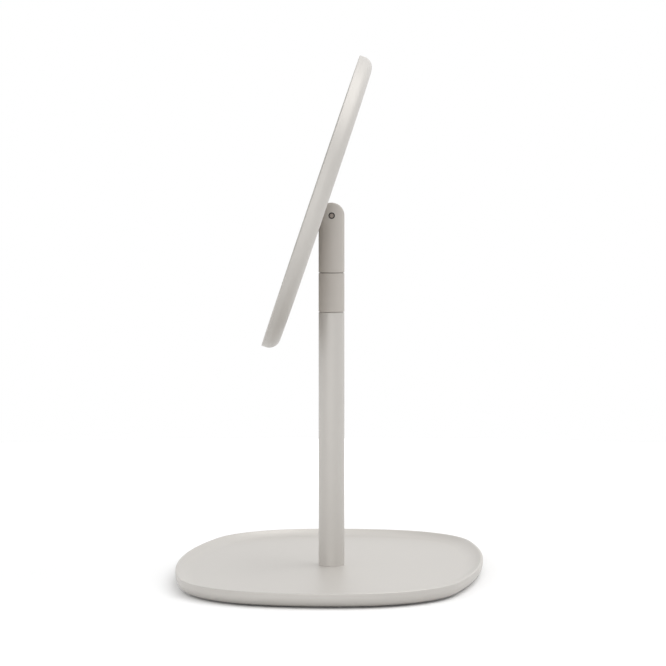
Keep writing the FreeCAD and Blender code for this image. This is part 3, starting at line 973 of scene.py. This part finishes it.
def pin_mesh(stem):
    """The pin: a bar along the hinge, with a groove round the tip at each end.

    The groove attribute is 1 in the grooves, which lie below the tip or outside it, and marks where shade is
    painted.
    """
    _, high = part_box("hinge_head")
    end = high.x - stem.pin_sunk
    floor = end - stem.pin_groove
    half = [(stem.pin_tip, end), (stem.pin_tip + stem.pin_edge, floor), (stem.pin_radius, floor)]
    corners = [(0, -end), *((r, -z) for r, z in half), *reversed(half), (0, end)]
    mesh = spun("pin", corners, stem.pin_edge, PIN_STEPS)
    place = points_of(mesh)
    out = np.hypot(place[:, 0], place[:, 1])
    margin = 0.0001  # leaves the tip's own edge bare
    # the grooves, where shade is painted
    mark_points(mesh, "browned", (np.abs(place[:, 2]) < end - 2 * margin) | (out > stem.pin_tip + margin))
    mesh.transform(head_place() @ along_hinge())
    return mesh


class MIRROR_OT_head(bpy.types.Operator):
    """Make the fork on the stem and the pin through it"""

    bl_idname = "table_mirror.head"
    bl_label = "Fork and pin"

    def execute(self, context):
        stem = context.scene.mirror_stem
        fork = show("fork", fork_mesh(stem), finish_of(head_paint), "hinge_head", slot="satin_paint")
        drill_pin_hole(fork, stem)
        fork.data.transform(head_place())
        closed_mesh(fork.data)
        soften_edges(fork, stem.pin_edge)
        show("pin", pin_mesh(stem), finish_of(pin_steel), "hinge_pin", slot="steel")
        return {"FINISHED"}


# Mirror


def show_on_mirror(name, mesh, make, node, slot):
    """Piece of a mesh that is made in the mirror's own axes."""
    mesh.transform(mirror_place())
    show(name, mesh, finish_of(make), node, slot=slot)


def tongue_mesh(mirror):
    """The tongue: a straight-sided outline with a round end about the pin, carried along the hinge.

    Its rings go out over one face, along the edge and back over the other, with soft edges, and through
    the hole for the pin.
    """
    radius = mirror.tongue_radius
    seat = mirror.plate_seat
    steps = 12
    sides = chain(
        np.stack([np.full(steps, radius), np.linspace(seat, 0, steps, endpoint=False)], axis=-1),
        arc((0, 0), radius, 0, -180, 5 * steps)[:-1],
        np.stack([np.full(steps, -radius), np.linspace(0, seat, steps)], axis=-1),
        np.stack([np.linspace(-radius, radius, steps + 2)[1:-1], np.full(steps, seat)], axis=-1),
    )
    centre = np.array([0.0, seat / 2 - radius / 2])
    hole = mirror.tongue_bore * directions(np.arctan2(sides[:, 1], sides[:, 0]))
    soft = mirror.tongue_edge
    half = mirror.tongue_half
    inwards = (centre - sides) / np.linalg.norm(centre - sides, axis=1, keepdims=True)
    turns = np.linspace(0, np.pi / 2, 6)
    rim = [(half - soft + soft * math.sin(a), soft * (1 - math.cos(a))) for a in turns]
    rings = [np.column_stack([np.full(len(sides), x), sides + inset * inwards]) for x, inset in rim]
    face = np.column_stack([np.full(len(sides), half), hole])
    front = [*rings, *between(rings[-1], face, (0.15, 0.6, 1.0))]
    back = [ring * np.array([-1.0, 1.0, 1.0]) for ring in reversed(front)]
    return surface("tongue", np.array(back + front), loop=True)


def plate_mesh(mirror):
    """The plate that holds the tongue inside the shell."""
    outline = round_bar(mirror.plate_radius, mirror.plate_seat, mirror.plate_front)
    return spun("plate", outline, mirror.plate_edge)


class MIRROR_OT_lug(bpy.types.Operator):
    """Make the tongue on the pin and its plate"""

    bl_idname = "table_mirror.lug"
    bl_label = "Tongue and plate"

    def execute(self, context):
        mirror = context.scene.mirror_mirror
        mesh = closed_mesh(joined("tongue_and_plate", [tongue_mesh(mirror), plate_mesh(mirror)]))
        show_on_mirror("tongue_and_plate", mesh, satin_paint, "hinge_lug", slot="satin_paint")
        return {"FINISHED"}


def hexagon_rings(section, angles):
    """Section of (half width across the flats, height) carried round a hexagon.

    At each angle the reach is the half width over the cosine of the angle from the nearest flat.
    """
    rings = round_rings(section, angles)
    turn = np.mod(angles, np.pi / 3) - np.pi / 6
    return rings * np.stack([1 / np.cos(turn), 1 / np.cos(turn), np.ones_like(turn)], axis=-1)


def well_screw_mesh(mirror):
    """One bracket screw: a hexagon socket, a dome whose section is a quarter ellipse, and a plain shank."""
    angles = turn_angles(SCREW_STEPS)
    floor = mirror.well_floor
    top = floor - mirror.screw_rise
    bottom = top + mirror.screw_key_depth
    key = mirror.screw_key
    bevel = mirror.screw_bevel
    socket = [(key / 5, bottom), (key, bottom), (key, top + bevel), (key + bevel, top)]
    flat = key + mirror.screw_flat
    turns = np.linspace(np.pi / 2, 0, 12)
    out = flat + (mirror.screw_head - flat) * np.cos(turns)
    up = mirror.screw_side + (mirror.screw_rise - mirror.screw_side) * np.sin(turns)
    body = chain(
        np.stack([out, floor - up], axis=-1),
        (mirror.screw_head, floor),
        (mirror.screw_radius, floor),
        (mirror.screw_radius, mirror.plate_front),
        (0.0, mirror.plate_front),
    )
    rings = [round_rings([(0.0, bottom)], angles), hexagon_rings(socket, angles), round_rings(body, angles)]
    return surface("well_screw", np.concatenate(rings))


class MIRROR_OT_screws(bpy.types.Operator):
    """Make the four bracket screws in the well"""

    bl_idname = "table_mirror.screws"
    bl_label = "Bracket screws"

    def execute(self, context):
        mirror = context.scene.mirror_mirror
        meshes = []
        for x in (-mirror.screw_across, mirror.screw_across):
            for y in (-mirror.screw_up, mirror.screw_up):
                mesh = well_screw_mesh(mirror)
                mesh.transform(Matrix.Translation((x, y, 0)))
                meshes.append(mesh)
        mesh = closed_mesh(joined("well_screws", meshes))
        show_on_mirror("well_screws", mesh, plain_steel, "bracket_screws", slot="steel")
        return {"FINISHED"}


def tongue_slot(mirror, angles):
    """Rings of the straight-sided slot for the tongue, at the plate's seat and at the floor of the well.

    The reach is the smaller of the half width over the cosine and the half length over the sine.
    """
    half = np.array([mirror.tongue_half, mirror.tongue_radius]) + mirror.tongue_room
    ahead = directions(angles)
    reach = np.min(half / np.maximum(np.abs(ahead), 1e-9), axis=1, keepdims=True)
    levels = (mirror.plate_seat, mirror.well_floor)
    return np.stack([np.column_stack([reach * ahead, np.full(len(angles), level)]) for level in levels])


def pan_mesh(mirror):
    """The shell as one loop of rings: the slot, the well, the flat back, the rounded edge and the inside.

    The inside is the outer way back at the thickness of the wall. The well is round about the pin and the
    edge about the mirror's centre. On the flat back, and inside, the rings change from one circle to the
    other in even shares.
    """
    angles = turn_angles()
    back, front, outer = mirror.back, mirror.front, mirror.radius
    inner = outer - mirror.wall
    bend = front - back - mirror.upright
    flat = outer - bend
    tip = mirror.edge_round
    edge = chain(
        (flat - GUARD, back),
        arc((flat, back + bend), bend, -90, 0, 20),
        (outer, back + bend + GUARD),
        (outer, front - tip - SMALL_GUARD),
        arc((outer - tip, front - tip), tip, 0, 90, 6),
        arc((inner + tip, front - tip), tip, 90, 180, 6),
        (inner, front - tip - SMALL_GUARD),
        (inner, back + bend),
        arc((flat, back + bend), bend - mirror.wall, 0, -90, 12),
    )
    rim = round_rings(edge, angles) + np.array([0.0, mirror.rise, 0.0])
    hollow, foot, lip = mirror.well_radius, mirror.well_foot, mirror.well_round
    section = chain(
        (hollow / 2, mirror.well_floor),
        (hollow - foot - SMALL_GUARD, mirror.well_floor),
        arc((hollow - foot, mirror.well_floor - foot), foot, 90, 0, 4),
        (hollow, back + lip + SMALL_GUARD),
        arc((hollow + lip, back + lip), lip, 180, 270, 8),
        (hollow + lip + GUARD, back),
    )
    well = round_rings(section, angles)
    boss = hollow + mirror.wall
    seat = mirror.plate_seat
    sheath = round_rings([(boss, back + mirror.wall), (boss, seat), (boss / 2, seat)], angles)
    shares = (0.2, 0.4, 0.6, 0.8)
    to_rim = between(well[-1], rim[0], shares)
    to_sheath = between(rim[-1], sheath[0], shares)
    rings = [tongue_slot(mirror, angles), well, to_rim, rim, to_sheath, sheath]
    return surface("pan", np.concatenate(rings), loop=True)


class MIRROR_OT_pan(bpy.types.Operator):
    """Make the shell of the mirror"""

    bl_idname = "table_mirror.pan"
    bl_label = "Mirror shell"

    def execute(self, context):
        mesh = pan_mesh(context.scene.mirror_mirror)
        show_on_mirror("pan", mesh, satin_paint, "mirror_shell", slot="satin_paint")
        return {"FINISHED"}


def looking_glass_mesh(mirror):
    """The glass: a disc with bevelled edges. The attribute cut_edge is 1 on its bevels and side."""
    radius = mirror.radius - mirror.wall - mirror.glass_gap
    back, front, bevel = mirror.glass_back, mirror.glass_front, mirror.glass_bevel
    flat = radius - bevel
    middle = 0.7 * flat
    section = [
        (0, back),
        (middle, back),
        (flat, back),
        (radius, back + bevel),
        (radius, front - bevel),
        (flat, front),
        (flat - GUARD, front),
        (middle, front),
        (0, front),
    ]
    mesh = surface("looking_glass", round_rings(section, turn_angles()) + np.array([0.0, mirror.rise, 0.0]))
    place = points_of(mesh)
    out = np.hypot(place[:, 0], place[:, 1] - mirror.rise)
    mark_points(mesh, "cut_edge", out > flat - bevel / 2)
    return mesh


class MIRROR_OT_glass(bpy.types.Operator):
    """Make the silvered glass"""

    bl_idname = "table_mirror.glass"
    bl_label = "Glass"

    def execute(self, context):
        mesh = looking_glass_mesh(context.scene.mirror_mirror)
        show_on_mirror("looking_glass", mesh, silvered_glass, "mirror_glass", slot="mirror_glass")
        return {"FINISHED"}


# Pieces that stay as the frame has them


class MIRROR_OT_inner(bpy.types.Operator):
    """Give the inner pieces their finishes"""

    bl_idname = "table_mirror.inner"
    bl_label = "Inner pieces"

    finishes = {
        plain_steel: (
            "base_screw", "foot_plug", "swivel_spindle", "thrust_washer", "spring_washer", "spindle_nut",
        ),
        dark_acetal: ("lug_washers",),
        fibre_board: ("backing_disc",),
        foam_tape: ("adhesive_sheet",),
    }

    def execute(self, context):
        for make, nodes in self.finishes.items():
            for node in nodes:
                materials = frame["nodes"][node].data.materials
                materials.clear()
                materials.append(finish_of(make))
        return {"FINISHED"}


# Stage


def seen_directly(tree):
    """1 for rays from the camera, and for those that metal or glass sends on."""
    rays = add(tree, "ShaderNodeLightPath").outputs
    first = calculated(tree, "MAXIMUM", rays["Is Camera Ray"], rays["Is Glossy Ray"])
    return calculated(tree, "MAXIMUM", first, rays["Is Transmission Ray"])


def pale_floor(settings):
    """Matt pale floor that is white where it is seen, and keeps the object's shadow.

    Beside the object it looks nearly as it is lit. Further out it looks paler, so that its edge doesn't show.
    """
    material, tree, shader = new_material("pale_floor")
    place = add(tree, "ShaderNodeTexCoord").outputs["Object"]
    reach = add(tree, "ShaderNodeVectorMath", operation="LENGTH", Vector=place).outputs["Value"]
    distances = (settings.lift_from, settings.lift_full)
    lift = map_range(tree, reach, distances, (settings.near_lift, settings.floor_lift))
    seen = seen_directly(tree)
    put_all(tree, shader, {
        "Base Color": blended(tree, (*settings.floor, 1.0), (*settings.floor_seen, 1.0), seen),
        "Roughness": 1.0,
        "Specular IOR Level": 0.0,
        "Emission Color": WHITE,
        "Emission Strength": calculated(tree, "MULTIPLY", seen, lift),
    })
    return material


def white_world(settings):
    """White background that lights the object more softly than it is seen.

    High up across the dish, above the camera's view, the background that is seen fades to grey, so that the
    glass looks like a mirror. Its strength is 1 less the product of an upward and a sideways share.
    """
    world = bpy.data.worlds.new("white_world")
    world.use_nodes = True
    tree = world.node_tree
    light = tree.nodes["Background"]
    put_all(tree, light, {"Color": WHITE, "Strength": settings.ambient})
    direction = add(tree, "ShaderNodeTexCoord").outputs["Generated"]
    parts = add(tree, "ShaderNodeSeparateXYZ", Vector=direction).outputs
    heights = (settings.fade_low, settings.fade_high)
    upward = map_range(tree, parts["Z"], heights, (0.0, 1.0 - settings.overhead))
    aside = calculated(tree, "ABSOLUTE", parts["Y"])
    sideways = map_range(tree, aside, (settings.fade_from, settings.fade_full), (0.0, 1.0))
    strength = calculated(tree, "SUBTRACT", 1.0, calculated(tree, "MULTIPLY", upward, sideways))
    seen = add(tree, "ShaderNodeBackground", Color=WHITE, Strength=strength)
    mix = add(tree, "ShaderNodeMixShader", Fac=seen_directly(tree))
    tree.links.new(light.outputs[0], mix.inputs[1])
    tree.links.new(seen.outputs[0], mix.inputs[2])
    tree.links.new(mix.outputs[0], tree.nodes["World Output"].inputs["Surface"])
    return world


# Lamps by the setting of their power: the bearing from the dish's long axis and the height in degrees,
# the side in metres, and whether the lamp shows in reflections
LAMPS = {
    "left_power": (270, 30, 2.0, False),
    "right_power": (90, 60, 2.0, True),
    "rear_power": (135, 30, 2.0, True),
    "front_power": (352, 8, 2.0, True),
}


def aim(item, direction):
    """Turn a lamp or a camera to face along a direction, with its top up."""
    item.rotation_mode = "QUATERNION"
    item.rotation_quaternion = direction.to_track_quat("-Z", "Y")


def soft_box(settings, power_name):
    """Square lamp that faces the middle of the object from its bearing and height."""
    name = power_name.replace("power", "lamp")
    bearing, height, side, mirrored = LAMPS[power_name]
    turn, climb = math.radians(bearing), math.radians(height)
    lamp = bpy.data.lights.new(name, "AREA")
    lamp.shape = "SQUARE"
    lamp.size = side
    lamp.energy = getattr(settings, power_name)
    box = placed(name, lamp)
    level = math.cos(climb)
    out = Vector((level * math.cos(turn), level * math.sin(turn), math.sin(climb)))
    box.location = (CAD_BOX[0] + CAD_BOX[1]) / 2 + settings.lamp_reach * out
    aim(box, -out)
    box.visible_camera = False
    box.visible_glossy = mirrored


def place_camera(settings):
    """Camera at the photograph's angle, by its level distance and bearing from the stem, height and pitch."""
    data = bpy.data.cameras.new("camera")
    data.lens = settings.lens
    data.sensor_width = 36.0
    camera = placed("camera", data)
    away = Vector((math.cos(settings.bearing), math.sin(settings.bearing), 0))
    camera.location = settings.distance * away + Vector((0, 0, settings.height))
    turn = settings.bearing + settings.aside
    level = -Vector((math.cos(turn), math.sin(turn), 0))
    look = math.cos(settings.pitch) * level - Vector((0, 0, math.sin(settings.pitch)))
    aim(camera, look)
    bpy.context.scene.camera = camera


class MIRROR_OT_stage(bpy.types.Operator):
    """Set up the floor, the lamps and the camera"""

    bl_idname = "table_mirror.stage"
    bl_label = "Stage"

    def execute(self, context):
        settings = context.scene.mirror_stage
        context.scene.view_settings.view_transform = "Standard"
        context.scene.world = white_world(settings)
        radii = (0.0, settings.floor_radius / 3, settings.floor_radius)
        disc = surface("floor", round_rings([(radius, FLOOR_LEVEL) for radius in radii], turn_angles()))
        floor = placed("floor", disc)
        disc.materials.append(pale_floor(settings))
        for power_name in LAMPS:
            soft_box(settings, power_name)
        place_camera(settings)
        return {"FINISHED"}


# Panel and registration

OPERATORS = (
    MIRROR_OT_dish,
    MIRROR_OT_stem,
    MIRROR_OT_head,
    MIRROR_OT_lug,
    MIRROR_OT_screws,
    MIRROR_OT_pan,
    MIRROR_OT_glass,
    MIRROR_OT_inner,
    MIRROR_OT_stage,
)

SETTINGS = {
    "mirror_dish": DishSettings,
    "mirror_stem": StemSettings,
    "mirror_mirror": MirrorSettings,
    "mirror_finish": FinishSettings,
    "mirror_stage": StageSettings,
}


class MIRROR_PT_panel(bpy.types.Panel):
    """Steps and settings of the table mirror"""

    bl_label = "Table mirror"
    bl_idname = "MIRROR_PT_panel"
    bl_space_type = "VIEW_3D"
    bl_region_type = "UI"
    bl_category = "Table mirror"

    def draw(self, context):
        for operator in OPERATORS:
            self.layout.operator(operator.bl_idname)
        for key, group in SETTINGS.items():
            box = self.layout.box()
            box.label(text=group.__doc__)
            for name in group.__annotations__:
                box.prop(getattr(context.scene, key), name)


def register():
    """Make the settings, the operators and the panel known."""
    for item in (*SETTINGS.values(), *OPERATORS, MIRROR_PT_panel):
        bpy.utils.register_class(item)
    for key, group in SETTINGS.items():
        setattr(bpy.types.Scene, key, bpy.props.PointerProperty(type=group))


def unregister():
    """Take them away again."""
    for key in SETTINGS:
        delattr(bpy.types.Scene, key)
    for item in (MIRROR_PT_panel, *reversed(OPERATORS), *SETTINGS.values()):
        bpy.utils.unregister_class(item)


def main():
    """Dress the part and set the stage."""
    register()
    steps = bpy.ops.table_mirror
    steps.dish()
    steps.stem()
    steps.head()
    steps.lug()
    steps.screws()
    steps.pan()
    steps.glass()
    steps.inner()
    steps.stage()


if __name__ == "__main__":
    main()
